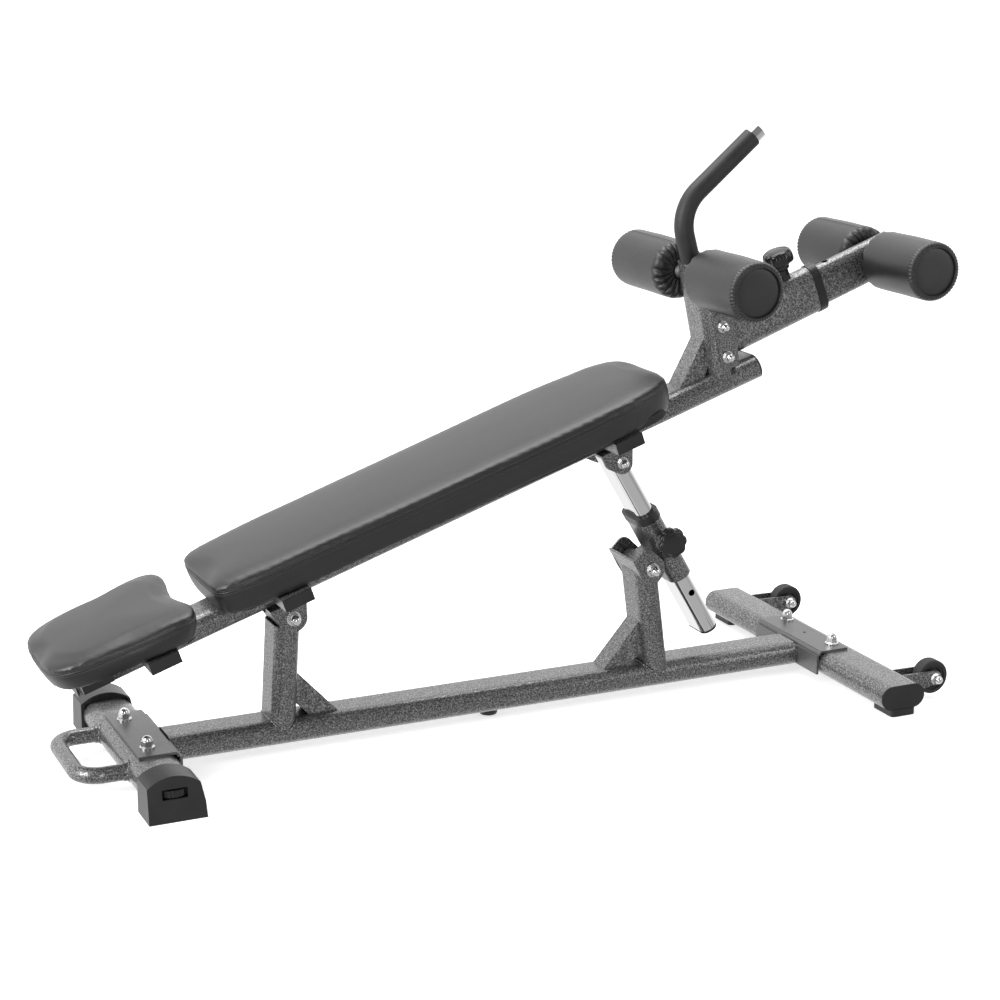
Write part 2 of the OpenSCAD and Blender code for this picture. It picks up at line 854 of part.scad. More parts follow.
// Channel that clamps the boom to the upper post
module boom_channel() {
    web_a = tube_t / 2 + 0.3;
    b0 = -62;
    b1 = 32;
    end_r = 14;
    color(frame_grey) difference() {
        upper_post_frame() {
            both_y(ear_out - plate_t / 2) across(plate_t) {
                translate([-8 + end_r, b0 + end_r]) circle(r = end_r);
                translate([-8 + end_r, b1 - end_r]) circle(r = end_r);
                translate([-8, b0 + end_r]) square([web_a + 8, b1 - b0 - 2 * end_r]);
                translate([-8 + end_r, b0]) square([web_a + 13 - end_r, b1 - b0]);
            }
            translate([web_a, -ear_out, b0]) cube([5, 2 * ear_out, b1 - b0]);
        }
        upper_post_frame() for (b = channel_bolt_b) y_bar(5, b, strut_bolt_r, -60, 60);
    }
}

module channel_bolts() {
    color(bright) upper_post_frame() for (b = channel_bolt_b) y_bolt(5, b, strut_bolt_r, ear_out);
}

module boom_tube() {
    length = 190;
    back_cut = tube_t / 2 + 5.3;
    color(frame_grey) difference() {
        boom_frame() translate([-length - collar_t, 0, 0]) rotate([0, 90, 0])
            linear_extrude(length) rotate(90) oval_ring(tube_w, tube_t, tube_wall);
        upper_post_frame() translate([back_cut - 300, -100, -200]) cube([300, 200, 400]);
        boom_frame() translate([boom_pin, 0, 30]) cylinder(r = pin_r + fit, h = 20);
    }
}

module boom_collar() {
    liner = 60;
    color(black) boom_frame() difference() {
        rotate([0, 90, 0]) {
            translate([0, 0, -collar_t]) linear_extrude(collar_t) rotate(90) oval(tube_w + 3, tube_t + 3);
            translate([0, 0, -collar_t - liner]) linear_extrude(liner) rotate(90)
                oval(tube_w - 2 * tube_wall - 0.2, tube_t - 2 * tube_wall - 0.2);
        }
        rotate([0, 90, 0]) translate([0, 0, -120]) linear_extrude(140) rotate(90)
            oval(inner_w + 2 * slide_gap, inner_t + 2 * slide_gap);
        translate([boom_pin, 0, 20]) cylinder(r = pin_r + fit, h = 20);
    }
}

module boom_pin_housing() {
    color(black) boom_frame() difference() {
        translate([boom_pin, 0, tube_w / 2 - 1.5]) pin_housing();
        rotate([0, 90, 0]) linear_extrude(300, center = true) rotate(90) oval(tube_w, tube_t);
    }
}

module boom_knob() {
    knob_n = tube_w / 2 - 1.5 + housing_h + 0.3;
    color(black) boom_frame() translate([boom_pin, 0, 0]) {
        translate([0, 0, pin_nose]) cylinder(r = pin_r, h = knob_n - pin_nose + 5);
        translate([0, 0, knob_n]) lobed_knob(25, 33);
    }
}

module boom_inner_tube() {
    color(frame_grey) boom_frame() difference() {
        translate([boom_inner_back, 0, 0]) rotate([0, 90, 0])
            linear_extrude(boom_inner_tip - 3 - boom_inner_back) rotate(90)
                oval_ring(inner_w, inner_t, tube_wall);
        for (i = [0:2]) translate([boom_pin + i * boom_pitch, 0, inner_w / 2 - 5])
            cylinder(r = pin_hole_r, h = 8);
        y_bar(boom_reach, 0, axle_r, -50, 50);
    }
}

module boom_inner_plug() {
    color(black) boom_frame() translate([boom_inner_tip - 3, 0, 0]) rotate([0, 90, 0]) {
        linear_extrude(3) rotate(90) oval(inner_w, inner_t);
        translate([0, 0, -14]) linear_extrude(14) rotate(90)
            oval(inner_w - 2 * tube_wall - 0.2, inner_t - 2 * tube_wall - 0.2);
    }
}

// ---------- rollers ----------

// Axle tube with a spacer on each side between what carries it and its roller
module roller_axle(x, z, carrier_half, y0, y1) {
    axle_half = y1 - 9;
    difference() {
        union() {
            y_bar(x, z, axle_r, -axle_half, axle_half);
            each_side() y_bar(x, z, spacer_r, carrier_half, y0 - 0.5);
        }
        y_bar(x, z, axle_r - tube_wall, -axle_half - 1, axle_half + 1);
    }
}

module front_roller_axle() {
    color(steel_grey) roller_axle(front_axle_x, front_axle_z, tube_w / 2 + cope, front_roller_y0,
                                  front_roller_y1);
}

module rear_roller_axle() {
    color(steel_grey) roller_axle(rear_axle_x, rear_axle_z, inner_t / 2 + cope, rear_roller_y0,
                                  rear_roller_y1);
}

// Foam roller with rounded shoulders and a recessed outer end
module roller(x, z, side, y0, y1) {
    shoulder = 12;
    length = y1 - y0;
    dish_r = 27;
    translate([x, side * y0, z]) rotate([-90 * side, 0, 0]) rotate_extrude() difference() {
        union() {
            translate([axle_r + fit, 0]) square([roller_d / 2 - shoulder - axle_r - fit, length]);
            translate([axle_r + fit, shoulder])
                square([roller_d / 2 - axle_r - fit, length - 2 * shoulder]);
            for (end = [shoulder, length - shoulder])
                translate([roller_d / 2 - shoulder, end]) circle(r = shoulder);
        }
        translate([0, length - 5]) square([dish_r, 10]);
    }
}

module front_roller_left() {
    color(vinyl) roller(front_axle_x, front_axle_z, 1, front_roller_y0, front_roller_y1);
}

module front_roller_right() {
    color(vinyl) roller(front_axle_x, front_axle_z, -1, front_roller_y0, front_roller_y1);
}

module rear_roller_left() {
    color(vinyl) roller(rear_axle_x, rear_axle_z, 1, rear_roller_y0, rear_roller_y1);
}

module rear_roller_right() {
    color(vinyl) roller(rear_axle_x, rear_axle_z, -1, rear_roller_y0, rear_roller_y1);
}

// ---------- assist handle ----------

// Round bar that follows the handle from start (above its foot) to its arm's length.
// A slimmer core joins the bend to each straight.
module handle_path(r, start, arm) {
    turn = 90 - handle_lean - handle_slope;
    leaning(handle_foot_x, handle_foot_z, handle_lean) {
        translate([0, 0, start]) cylinder(r = r, h = handle_rise - start);
        translate([0, 0, handle_rise - 3]) cylinder(r = r - 0.5, h = 6);
        translate([handle_bend_r, 0, handle_rise]) {
            rotate([90, 0, 0]) rotate([0, 0, 180 - turn]) rotate_extrude(angle = turn)
                translate([handle_bend_r, 0]) circle(r = r);
            rotate([0, turn, 0]) translate([-handle_bend_r, 0, 0]) {
                cylinder(r = r, h = arm);
                translate([0, 0, -3]) cylinder(r = r - 0.5, h = 6);
            }
        }
    }
}

module assist_handle() {
    color(bright) difference() {
        handle_path(handle_r, -8, handle_arm);
        upper_post_frame() translate([-100, -100, -100]) cube([200, 200, 100 + post_top_b]);
    }
}

module handle_grip() {
    color(black) difference() {
        handle_path(grip_r, grip_gap, handle_arm - bare_tip);
        handle_path(handle_r, 0, handle_arm);
    }
}

// ---------- drawing ----------

main_rail();
saddle_plates();
saddle_bolts();
front_stabilizer();
rear_stabilizer();
grab_handle();
front_cap_left();
front_cap_right();
level_screws();
level_wheel_left();
level_wheel_right();
rear_end_caps();
rear_feet();
wheel_brackets();
wheel_axles();
wheel_hub_left();
wheel_hub_right();
wheel_tyre_left();
wheel_tyre_right();
rail_bumper();
front_post();
front_bushing();
rear_post();
post_gussets();
rear_fork();
fork_bolt();
sleeve_tube();
sleeve_collar();
strut_pin_housing();
strut_knob();
strut_tube();
strut_plug();
upper_tube();
tube_plugs();
front_pivot_bracket();
strut_bracket();
pivot_bolts();
pad_crossmembers();
head_pad();
head_pad_board();
main_pad();
main_pad_board();
upper_post();
upper_gusset();
boom_channel();
channel_bolts();
boom_tube();
boom_collar();
boom_pin_housing();
boom_knob();
boom_inner_tube();
boom_inner_plug();
rear_roller_axle();
front_roller_axle();
front_roller_left();
front_roller_right();
rear_roller_left();
rear_roller_right();
assist_handle();
handle_grip();
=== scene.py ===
import json
import math

import bmesh
import bpy
import numpy as np
from mathutils import Matrix, Vector
from mathutils.bvhtree import BVHTree


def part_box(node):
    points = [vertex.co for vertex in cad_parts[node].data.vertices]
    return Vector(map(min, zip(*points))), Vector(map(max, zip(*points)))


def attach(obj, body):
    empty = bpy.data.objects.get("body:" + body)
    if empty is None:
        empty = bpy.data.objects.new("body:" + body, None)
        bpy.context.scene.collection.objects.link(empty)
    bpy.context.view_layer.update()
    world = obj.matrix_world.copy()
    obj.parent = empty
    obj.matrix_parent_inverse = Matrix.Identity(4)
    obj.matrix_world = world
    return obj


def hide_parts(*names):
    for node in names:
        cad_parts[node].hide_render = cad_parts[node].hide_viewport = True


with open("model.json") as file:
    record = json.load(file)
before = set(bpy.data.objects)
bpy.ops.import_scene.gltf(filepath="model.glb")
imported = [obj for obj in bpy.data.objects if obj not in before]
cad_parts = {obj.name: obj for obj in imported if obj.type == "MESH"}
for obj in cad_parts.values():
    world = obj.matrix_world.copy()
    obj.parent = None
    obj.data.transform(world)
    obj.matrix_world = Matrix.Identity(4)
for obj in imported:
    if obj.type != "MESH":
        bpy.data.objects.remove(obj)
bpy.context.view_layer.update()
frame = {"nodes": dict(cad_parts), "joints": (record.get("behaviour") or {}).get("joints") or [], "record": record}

SCENE = bpy.context.scene
JOINTS = {joint["name"]: joint for joint in frame["joints"]}
TAU = 2 * math.pi
TUBE_WIDTH, TUBE_THICKNESS = 0.08, 0.04     # the flat-oval tube of the frame

# ---------- places taken from the frame ----------

BENCH_SLOPE = math.radians(18.4)


class Place:
    """An origin with three axes: along, across (always +Y) and up, square to both."""

    def __init__(self, origin, slope):
        self.origin = np.array(origin, float)
        self.along = np.array([math.cos(slope), 0, math.sin(slope)])
        self.across = np.array([0.0, 1.0, 0.0])
        self.up = np.array([-math.sin(slope), 0, math.cos(slope)])

    def put(self, along, across, up):
        """Points in the row frame from three arrays of distances."""
        return (self.origin + np.multiply.outer(np.asarray(along, float), self.along)
                + np.multiply.outer(np.asarray(across, float), self.across)
                + np.multiply.outer(np.asarray(up, float), self.up))

    def read(self, points):
        """Distances along, across and up for an array of points."""
        offset = np.asarray(points, float) - self.origin
        return offset @ self.along, offset @ self.across, offset @ self.up


BENCH = Place(JOINTS["bench_tilt"]["pos_m"], BENCH_SLOPE)


def box_of(node):
    """A CAD node's lowest and highest corners, as arrays."""
    low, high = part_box(node)
    return np.array(low), np.array(high)


# ---------- mesh helpers ----------

MERGE_DISTANCE = 1e-6
TUBE_SIDES = 8

def mesh_object(name, verts, faces):
    """New object whose mesh is the given arrays, with its faces turned outwards."""
    mesh = bpy.data.meshes.new(name)
    mesh.from_pydata(np.asarray(verts, float).tolist(), [], faces)
    tidy = bmesh.new()
    tidy.from_mesh(mesh)
    bmesh.ops.remove_doubles(tidy, verts=tidy.verts, dist=MERGE_DISTANCE)
    bmesh.ops.recalc_face_normals(tidy, faces=tidy.faces)
    tidy.to_mesh(mesh)
    tidy.free()
    mesh.polygons.foreach_set("use_smooth", np.ones(len(mesh.polygons), bool))
    piece = bpy.data.objects.new(name, mesh)
    SCENE.collection.objects.link(piece)
    return piece


def ring_quads(rows, sides, close_rows=False):
    """Quads between neighbouring rings of a grid with rows rings of sides points."""
    index = np.arange(rows * sides).reshape(rows, sides)
    after = np.roll(index, -1, axis=0) if close_rows else index[1:]
    here = index if close_rows else index[:-1]
    quads = np.stack([here, np.roll(here, -1, 1), np.roll(after, -1, 1), after], -1)
    return index, quads.reshape(-1, 4)


def ring_solid(name, rings):
    """Closed piece through rings[i, j]: quads between rings, and a fan to the middle of each end."""
    rows, sides = rings.shape[:2]
    index, quads = ring_quads(rows, sides)
    ends = [rings[0].mean(0), rings[-1].mean(0)]
    verts = np.vstack([rings.reshape(-1, 3), ends])
    fans = [np.stack([ring, np.roll(ring, -1), np.full(sides, rows * sides + k)], -1).tolist()
            for k, ring in enumerate((index[0], index[-1]))]
    return mesh_object(name, verts, quads.tolist() + fans[0] + fans[1])


def ring_loop(name, rings):
    """Closed piece through rings[i, j] that meets itself again, like a torus."""
    rows, sides = rings.shape[:2]
    quads = ring_quads(rows, sides, close_rows=True)[1]
    return mesh_object(name, rings.reshape(-1, 3), quads.tolist())


def unit(rows):
    """Each row divided by its length."""
    return rows / np.linalg.norm(rows, axis=-1, keepdims=True)


def loop_steps(path):
    """At each point of a closed path, the step from the point before it to the point after it."""
    return np.roll(path, -1, 0) - np.roll(path, 1, 0)


def tube_rings(path, radius, up):
    """Rings of a closed tube: the path's points plus radius * (cos a * side + sin a * lift), with side
    square to the path and to the given up direction."""
    run = unit(loop_steps(path))
    side = unit(np.cross(run, up))
    lift = np.cross(side, run)
    angle = np.linspace(0, TAU, TUBE_SIDES, endpoint=False)
    radius = np.broadcast_to(np.asarray(radius, float), (len(path),))[:, None, None]
    wheel = (np.cos(angle)[None, :, None] * side[:, None, :]
             + np.sin(angle)[None, :, None] * lift[:, None, :])
    return path[:, None, :] + radius * wheel


def even_steps(path, count):
    """The same closed curve with count points at even distances along it."""
    path = np.vstack([path, path[:1]])
    length = np.concatenate([[0], np.cumsum(np.linalg.norm(np.diff(path, axis=0), axis=1))])
    wanted = np.linspace(0, length[-1], count, endpoint=False)
    return np.stack([np.interp(wanted, length, path[:, k]) for k in range(path.shape[1])], 1)


def smooth_step(value, low, high):
    """0 below low, 1 above high, and an even S between them."""
    part = np.clip((value - low) / (high - low), 0, 1)
    return part * part * (3 - 2 * part)


# ---------- materials ----------

class Shader:
    """A material with its Principled shader and short ways to add nodes."""

    def __init__(self, name, base, roughness, metallic=0.0, **sockets):
        self.material = bpy.data.materials.new(name)
        self.material.use_nodes = True
        self.tree = self.material.node_tree
        self.shader = self.tree.nodes["Principled BSDF"]
        self.shader.inputs["Base Color"].default_value = (*base, 1)
        self.shader.inputs["Roughness"].default_value = roughness
        self.shader.inputs["Metallic"].default_value = metallic
        for socket, value in sockets.items():
            self.shader.inputs[socket.replace("_", " ")].default_value = value
        self.place = self.tree.nodes.new("ShaderNodeTexCoord").outputs["Object"]

    def node(self, kind, **values):
        made = self.tree.nodes.new(kind)
        for key, value in values.items():
            if key in made.inputs:
                made.inputs[key].default_value = value
            else:
                setattr(made, key, value)
        return made

    def link(self, source, target):
        self.tree.links.new(source, target)

    def stretched(self, scale):
        """Object coordinates with a different scale on each axis."""
        mapping = self.node("ShaderNodeMapping")
        mapping.inputs["Scale"].default_value = scale
        self.link(self.place, mapping.inputs["Vector"])
        return mapping.outputs["Vector"]

    def noise(self, scale, detail=2.0, rough=0.5, vector=None):
        made = self.node("ShaderNodeTexNoise", Scale=scale, Detail=detail, Roughness=rough)
        self.link(vector or self.place, made.inputs["Vector"])
        return made.outputs["Fac"]

    def cells(self, scale, feature):
        made = self.node("ShaderNodeTexVoronoi", feature=feature)
        made.inputs["Scale"].default_value = scale
        self.link(self.place, made.inputs["Vector"])
        return made.outputs["Distance"]

    def ramp(self, source, stops):
        """Colour ramp through (position, colour) stops."""
        made = self.node("ShaderNodeValToRGB")
        line = made.color_ramp
        while len(line.elements) < len(stops):
            line.elements.new(0.5)
        for element, (position, colour) in zip(line.elements, stops):
            element.position = position
            element.color = (*colour, 1)
        self.link(source, made.inputs["Fac"])
        return made.outputs["Color"]

    def spread(self, source, low, high):
        """source mapped from 0..1 to low..high."""
        made = self.node("ShaderNodeMapRange", **{"To Min": low, "To Max": high})
        self.link(source, made.inputs["Value"])
        return made.outputs["Result"]

    def colour(self, source):
        self.link(source, self.shader.inputs["Base Color"])

    def rough(self, source):
        self.link(source, self.shader.inputs["Roughness"])

    def bump(self, source, depth, strength):
        """Adds a bump, in metres of depth, on top of the ones already there."""
        made = self.node("ShaderNodeBump", Strength=strength, Distance=depth)
        self.link(source, made.inputs["Height"])
        socket = self.shader.inputs["Normal"]
        if socket.is_linked:
            self.link(socket.links[0].from_socket, made.inputs["Normal"])
        self.link(made.outputs["Normal"], socket)


def grey(value):
    return (value, value, value)


def hammertone():
    """Grey powder coat with a hammered skin: rounded cells for dimples, and bright metal flecks."""
    coat = Shader("hammertone_coat", grey(0.2), 0.36, metallic=0.6, Coat_Weight=0.3, Coat_Roughness=0.15)
    flecks = coat.noise(430, detail=3.0, rough=0.6)
    coat.colour(coat.ramp(flecks, [(0.36, grey(0.045)), (0.46, grey(0.115)), (0.55, grey(0.2)),
                                   (0.66, grey(0.4))]))
    coat.rough(coat.spread(flecks, 0.42, 0.26))
    coat.bump(coat.cells(330, "SMOOTH_F1"), 0.0004, 0.45)
    coat.bump(flecks, 0.0002, 0.3)
    return coat.material


def smooth_coat():
    """Lighter, finer powder coat of the saddle plates."""
    coat = Shader("plate_coat", grey(0.17), 0.4, metallic=0.5, Coat_Weight=0.15, Coat_Roughness=0.3)
    peel = coat.noise(900, detail=2.0)
    coat.colour(coat.ramp(peel, [(0.3, grey(0.09)), (0.6, grey(0.17)), (0.8, grey(0.25))]))
    coat.bump(peel, 0.0002, 0.5)
    return coat.material


def chrome(name, roughness, value):
    """Bright plated metal: a mirror with faint hazy patches and fine rubbing marks."""
    metal = Shader(name, grey(value), roughness, metallic=1.0)
    haze = metal.noise(35, detail=4.0)
    metal.rough(metal.spread(haze, roughness * 0.6, roughness * 1.8))
    marks = metal.noise(120, detail=3.0, vector=metal.stretched((9, 9, 1)))
    metal.bump(marks, 0.00004, 0.3)
    return metal.material


def brushed_steel():
    """Turned steel: fine rings across the axle's length."""
    metal = Shader("turned_steel", grey(0.55), 0.3, metallic=1.0)
    lines = metal.noise(60, detail=4.0, vector=metal.stretched((1, 60, 1)))
    metal.rough(metal.spread(lines, 0.2, 0.42))
    metal.colour(metal.ramp(lines, [(0.3, grey(0.42)), (0.7, grey(0.62))]))
    metal.bump(lines, 0.00005, 0.4)
    return metal.material


def moulded(name, value, roughness, grain_scale, grain_depth):
    """Moulded plastic or rubber: fine spark-eroded grain, slightly uneven gloss, lighter rubbed spots."""
    shell = Shader(name, grey(value), roughness)
    cloud = shell.noise(18, detail=4.0)
    shell.colour(shell.ramp(cloud, [(0.3, grey(value * 0.8)), (0.75, grey(value * 1.5))]))
    grain = shell.noise(grain_scale, detail=2.0)
    shell.rough(shell.spread(cloud, roughness - 0.06, roughness + 0.08))
    shell.bump(grain, grain_depth, 0.5)
    return shell.material


def vinyl(name, value, roughness, grain_scale):
    """Upholstery vinyl: a leather grain of small cells cut by creases, over a soft uneven gloss."""
    cloth = Shader(name, grey(value), roughness, Specular_IOR_Level=0.6)
    cloud = cloth.noise(9, detail=3.0)
    cells = cloth.cells(grain_scale, "DISTANCE_TO_EDGE")
    cloth.colour(cloth.ramp(cloud, [(0.3, grey(value * 0.85)), (0.7, grey(value * 1.2))]))
    cloth.rough(cloth.spread(cloud, roughness - 0.04, roughness + 0.07))
    cloth.bump(cloth.ramp(cells, [(0.0, grey(0.0)), (0.25, grey(1.0))]), 0.00018, 0.35)
    cloth.bump(cloth.noise(grain_scale * 2.2, detail=2.0), 0.0001, 0.35)
    return cloth.material


def thread():
    """Twisted sewing thread: diagonal ribs."""
    line = Shader("thread", grey(0.05), 0.55)
    rib = line.noise(1500, detail=1.0, vector=line.stretched((1, 1, 3)))
    line.colour(line.ramp(rib, [(0.35, grey(0.03)), (0.65, grey(0.1))]))
    line.bump(rib, 0.0001, 0.5)
    return line.material


def dust_cover():
    """Black woven cover stapled over the boards."""
    cloth = Shader("dust_cover", grey(0.02), 0.85)
    weave = cloth.noise(700, detail=1.0, vector=cloth.stretched((1, 3, 1)))
    cloth.colour(cloth.ramp(weave, [(0.35, grey(0.01)), (0.65, grey(0.04))]))
    cloth.bump(weave, 0.0003, 0.5)
    return cloth.material


FINISH = {
    "frame_paint": hammertone(),
    "plate_paint": smooth_coat(),
    "fastener_chrome": chrome("plated_fasteners", 0.16, 0.72),
    "bare_steel": brushed_steel(),
    "bright_chrome": chrome("bright_chrome", 0.08, 0.66),
    "black_plastic": moulded("satin_black_plastic", 0.012, 0.36, 900, 0.00012),
    "knob_plastic": moulded("glossy_black_plastic", 0.010, 0.24, 700, 0.00006),
    "black_rubber": moulded("black_rubber", 0.014, 0.5, 1100, 0.0002),
    "wheel_tyre": moulded("tyre_rubber", 0.02, 0.62, 1300, 0.0003),
    "pad_vinyl": vinyl("pad_vinyl", 0.012, 0.34, 620),
    "roller_vinyl": vinyl("roller_vinyl", 0.012, 0.34, 820),
    "plywood": dust_cover(),
}
THREAD = thread()


def dress(piece, slot_name, body, material=None):
    """Gives a new piece its finish, slot and body."""
    piece.data.materials.append(material or FINISH[slot_name])
    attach(piece, body)


def dress_nodes():
    """Puts each CAD node's finish on its material slots."""
    for part in frame["record"]["subparts"]:
        node = frame["nodes"][part["node"]]
        if not node.material_slots:
            node.data.materials.append(FINISH[part["material_slot"]])
        for holder in node.material_slots:
            holder.material = FINISH[part["material_slot"]]


# ---------- camera, floor and lights ----------

CAMERA_AIM = Vector((0.0119, 0.0, 0.3535))
CAMERA_TURN, CAMERA_RISE, CAMERA_ROLL = -0.4154, 0.2574, -0.0053    # radians
CAMERA_DISTANCE = 3.5634
SENSOR_MM, LENS_MM = 36, 81.05
FAR_CLIP = 60

FLOOR_SIZE, FLOOR_GAP = 40, 0.0005
FLOOR_GLOW = 0.62
WORLD_STRENGTH = 1.2

# The two ramps of the surroundings: an axis of the direction, then From Min, From Max, To Min, To Max.
BACK_RAMP = ("Y", (-0.45, 0.35, 0.0, 1.0))
FRONT_RAMP = ("Z", (-0.2, 0.2, 0.5, 0.24))

# Soft boxes: name, place, aim, size and watts.
LIGHTS = (
    ("overhead_box", (0.0, 0.5, 2.8), (0, 0, 0.4), (2.6, 1.8), 62),
    ("left_box", (-3.0, -0.7, 1.6), (0, 0, 0.4), (1.4, 2.0), 85),
    ("right_box", (2.4, -2.2, 1.5), (0.2, 0, 0.5), (0.7, 1.8), 16),
    ("front_strip", (-0.9, -3.0, 0.7), (0, 0, 0.4), (0.35, 1.6), 14),
)


def place_camera():
    """Camera from its turn, height angle, roll, distance and aim point."""
    turn, rise, roll = CAMERA_TURN, CAMERA_RISE, CAMERA_ROLL
    back = Vector((math.sin(turn) * math.cos(rise), -math.cos(turn) * math.cos(rise), math.sin(rise)))
    right = Vector((math.cos(turn), math.sin(turn), 0))
    up = back.cross(right)
    rolled_right = right * math.cos(roll) + up * math.sin(roll)
    rolled_up = up * math.cos(roll) - right * math.sin(roll)
    lens = bpy.data.cameras.new("camera")
    lens.sensor_width = SENSOR_MM
    lens.lens = LENS_MM
    lens.clip_end = FAR_CLIP
    camera = bpy.data.objects.new("camera", lens)
    turned = Matrix((rolled_right, rolled_up, back)).transposed().to_4x4()
    turned.translation = CAMERA_AIM + back * CAMERA_DISTANCE
    camera.matrix_world = turned
    SCENE.collection.objects.link(camera)
    SCENE.camera = camera


def lay_floor():
    """White floor that glows a little and throws no light back on the bench."""
    bpy.ops.mesh.primitive_plane_add(size=FLOOR_SIZE, location=(0, 0, -FLOOR_GAP))
    floor = bpy.context.object
    floor.name = "studio_floor"
    paper = Shader("studio_paper", grey(0.86), 0.9)
    paper.colour(paper.ramp(paper.noise(2), [(0.3, grey(0.84)), (0.7, grey(0.88))]))
    paper.shader.inputs["Emission Color"].default_value = (1, 1, 1, 1)
    paper.shader.inputs["Emission Strength"].default_value = FLOOR_GLOW
    floor.data.materials.append(paper.material)
    floor.visible_diffuse = False
    floor.visible_glossy = False


def light_world():
    """Surroundings bright behind the bench and dim in front of it: brightness = mix(front(z), 1, back(y)),
    with a smooth step for each ramp."""
    world = bpy.data.worlds.new("studio")
    SCENE.world = world
    world.use_nodes = True
    tree = world.node_tree
    sky = tree.nodes["Background"]
    sky.inputs["Strength"].default_value = WORLD_STRENGTH
    place = tree.nodes.new("ShaderNodeTexCoord").outputs["Generated"]
    split = tree.nodes.new("ShaderNodeSeparateXYZ")
    tree.links.new(place, split.inputs["Vector"])
    blend = tree.nodes.new("ShaderNodeMix")
    for socket, (axis, values) in (("Factor", BACK_RAMP), ("A", FRONT_RAMP)):
        ramp = tree.nodes.new("ShaderNodeMapRange")
        ramp.interpolation_type = "SMOOTHSTEP"
        for limit, value in zip(("From Min", "From Max", "To Min", "To Max"), values):
            ramp.inputs[limit].default_value = value
        tree.links.new(split.outputs[axis], ramp.inputs["Value"])
        tree.links.new(ramp.outputs["Result"], blend.inputs[socket])
    blend.inputs["B"].default_value = 1.0
    tree.links.new(blend.outputs["Result"], sky.inputs["Color"])


def hang_light(name, place, aim, size, watts):
    data = bpy.data.lights.new(name, "AREA")
    data.shape = "RECTANGLE"
    data.size, data.size_y = size
    data.energy = watts
    light = bpy.data.objects.new(name, data)
    light.location = place
    light.rotation_mode = "QUATERNION"
    light.rotation_quaternion = (Vector(aim) - Vector(place)).to_track_quat("-Z", "Y")
    SCENE.collection.objects.link(light)


def build_studio():
    """Floor, surroundings and soft boxes, seen through a plain view transform."""
    lay_floor()
    light_world()
    for light in LIGHTS:
        hang_light(*light)
    SCENE.view_settings.view_transform = "Standard"
    SCENE.view_settings.look = "None"
    SCENE.view_settings.exposure = 0.0


# ---------- pads ----------

OUTLINE_POINTS = 240
PAD_BASE = 0.0642                   # the pads' undersides, above the bench's pivot
SEAM_DROP = 0.0105                  # from pad.seam down to the welted seam

# The cut through a pad's edge. Insets are from the outline, heights from pad.seam.
CENTRE_PART = 0.98                  # share of the half width where the cut ends
SIDE_INSET, SIDE_BOW = 0.001, 0.0095
SHOULDER_DROP = 0.006               # the side's upper end
ROLL_IN, ROLL_UP = 0.013, 0.0085    # the rounded shoulder's reach and rise
DOME_INSET, DOME_FOOT = 0.014, 0.0025
CROWN_RISE = 0.0065

CLOTH = {"quality": 4, "mass": 0.35, "tension_stiffness": 18, "compression_stiffness": 18,
         "shear_stiffness": 8, "bending_stiffness": 0.6, "use_pressure": True,
         "uniform_pressure_force": 4}
CLOTH_FRAMES = 20
HELD_HEIGHT = 0.012                 # the cloth is held this far up from the underside
SWELL_LIMIT = 0.005                 # the farthest a point may move
IRON_ROUNDS = 40

VALLEY_DEPTH, VALLEY_HALF = 0.0016, 0.004
RAY_START, RAY_REACH = 0.03, 0.08   # a ray to the skin starts this far out and goes this far
WELT_RADIUS, WELT_SINK, WELT_POINTS = 0.0015, 0.0004, 420
STITCH_PITCH, STITCH_LENGTH, STITCH_RADIUS, STITCH_LIFT = 0.0042, 0.003, 0.00045, 0.00015
STITCH_ROW = 0.0034                 # a row of stitches from the middle of the welt


class Pad:
    """An upholstered pad on the bench. Its outline is a superellipse whose power differs at each end and
    whose half width grows evenly along it; a dip can be pressed into the high end."""

    def __init__(self, name, ends, widths, powers, seam, voxel, dip=0.0, dip_half=0.08):
        self.name = name
        self.middle = sum(ends) / 2
        self.reach = (ends[1] - ends[0]) / 2
        self.widths = widths
        self.powers = powers
        self.seam = seam
        self.voxel = voxel
        self.dip = dip
        self.dip_half = dip_half

    def outline(self, inset):
        """Distances along and across of the edge's points, drawn in by inset."""
        angle = np.linspace(0, TAU, OUTLINE_POINTS, endpoint=False)
        cosine, sine = np.cos(angle), np.sin(angle)
        power = np.where(cosine > 0, self.powers[1], self.powers[0])
        along = np.sign(cosine) * np.abs(cosine) ** (2 / power)
        side = np.sign(sine) * np.abs(sine) ** (2 / power)
        low, high = self.widths
        width = low + (high - low) * (along + 1) / 2
        across = side * (width - inset)
        pressed = self.dip * np.clip(1 - (across / self.dip_half) ** 2, 0, 1) ** 2
        run = self.middle + along * (self.reach - inset) - pressed * smooth_step(along, 0.2, 0.9)
        return run, across

    def edge(self, count, height, inset=0.0):
        """count even points round the edge, on the bench at the given height."""
        run, across = even_steps(np.stack(self.outline(inset), 1), count).T
        return BENCH.put(run, across, np.full_like(run, height))


MAIN = Pad("main_pad", (-0.112, 0.699), (0.1165, 0.1345), (9.0, 4.6), PAD_BASE + 0.050, voxel=0.006)
HEAD = Pad("head_pad", (-0.378, -0.139), (0.112, 0.1305), (4.2, 6.5), PAD_BASE + 0.040, voxel=0.005,
           dip=0.013, dip_half=0.085)


